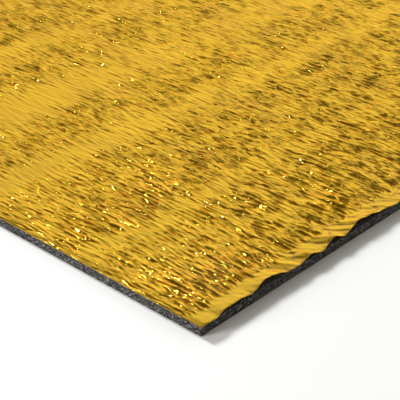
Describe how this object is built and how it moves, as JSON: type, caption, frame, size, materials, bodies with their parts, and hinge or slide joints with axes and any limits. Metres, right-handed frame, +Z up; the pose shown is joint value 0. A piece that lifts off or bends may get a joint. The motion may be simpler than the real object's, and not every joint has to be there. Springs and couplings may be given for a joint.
{
  "type": "reflective foam insulation sheet",
  "caption": "Flat sheet of dark closed-cell foam faced with a crinkled gold metallised film, laid as thermal and moisture insulation under floors or on walls.",
  "frame": {"origin": "centre of the foam's flat underside", "axes": "+Z up out of the film, +X across the creases, +Y along the creases, with the loose scalloped film edge on the -Y side"},
  "size_m": [0.5, 0.5008, 0.0074],
  "materials": {
    "foam": "matt closed-cell foam with open cells on the cut edges",
    "film": "metallised film with a gold lacquer, crinkled, satin to bright"
  },
  "bodies": {
    "root": {"foam_core": "foam", "reflective_film": "film"}
  },
  "joints": []
}
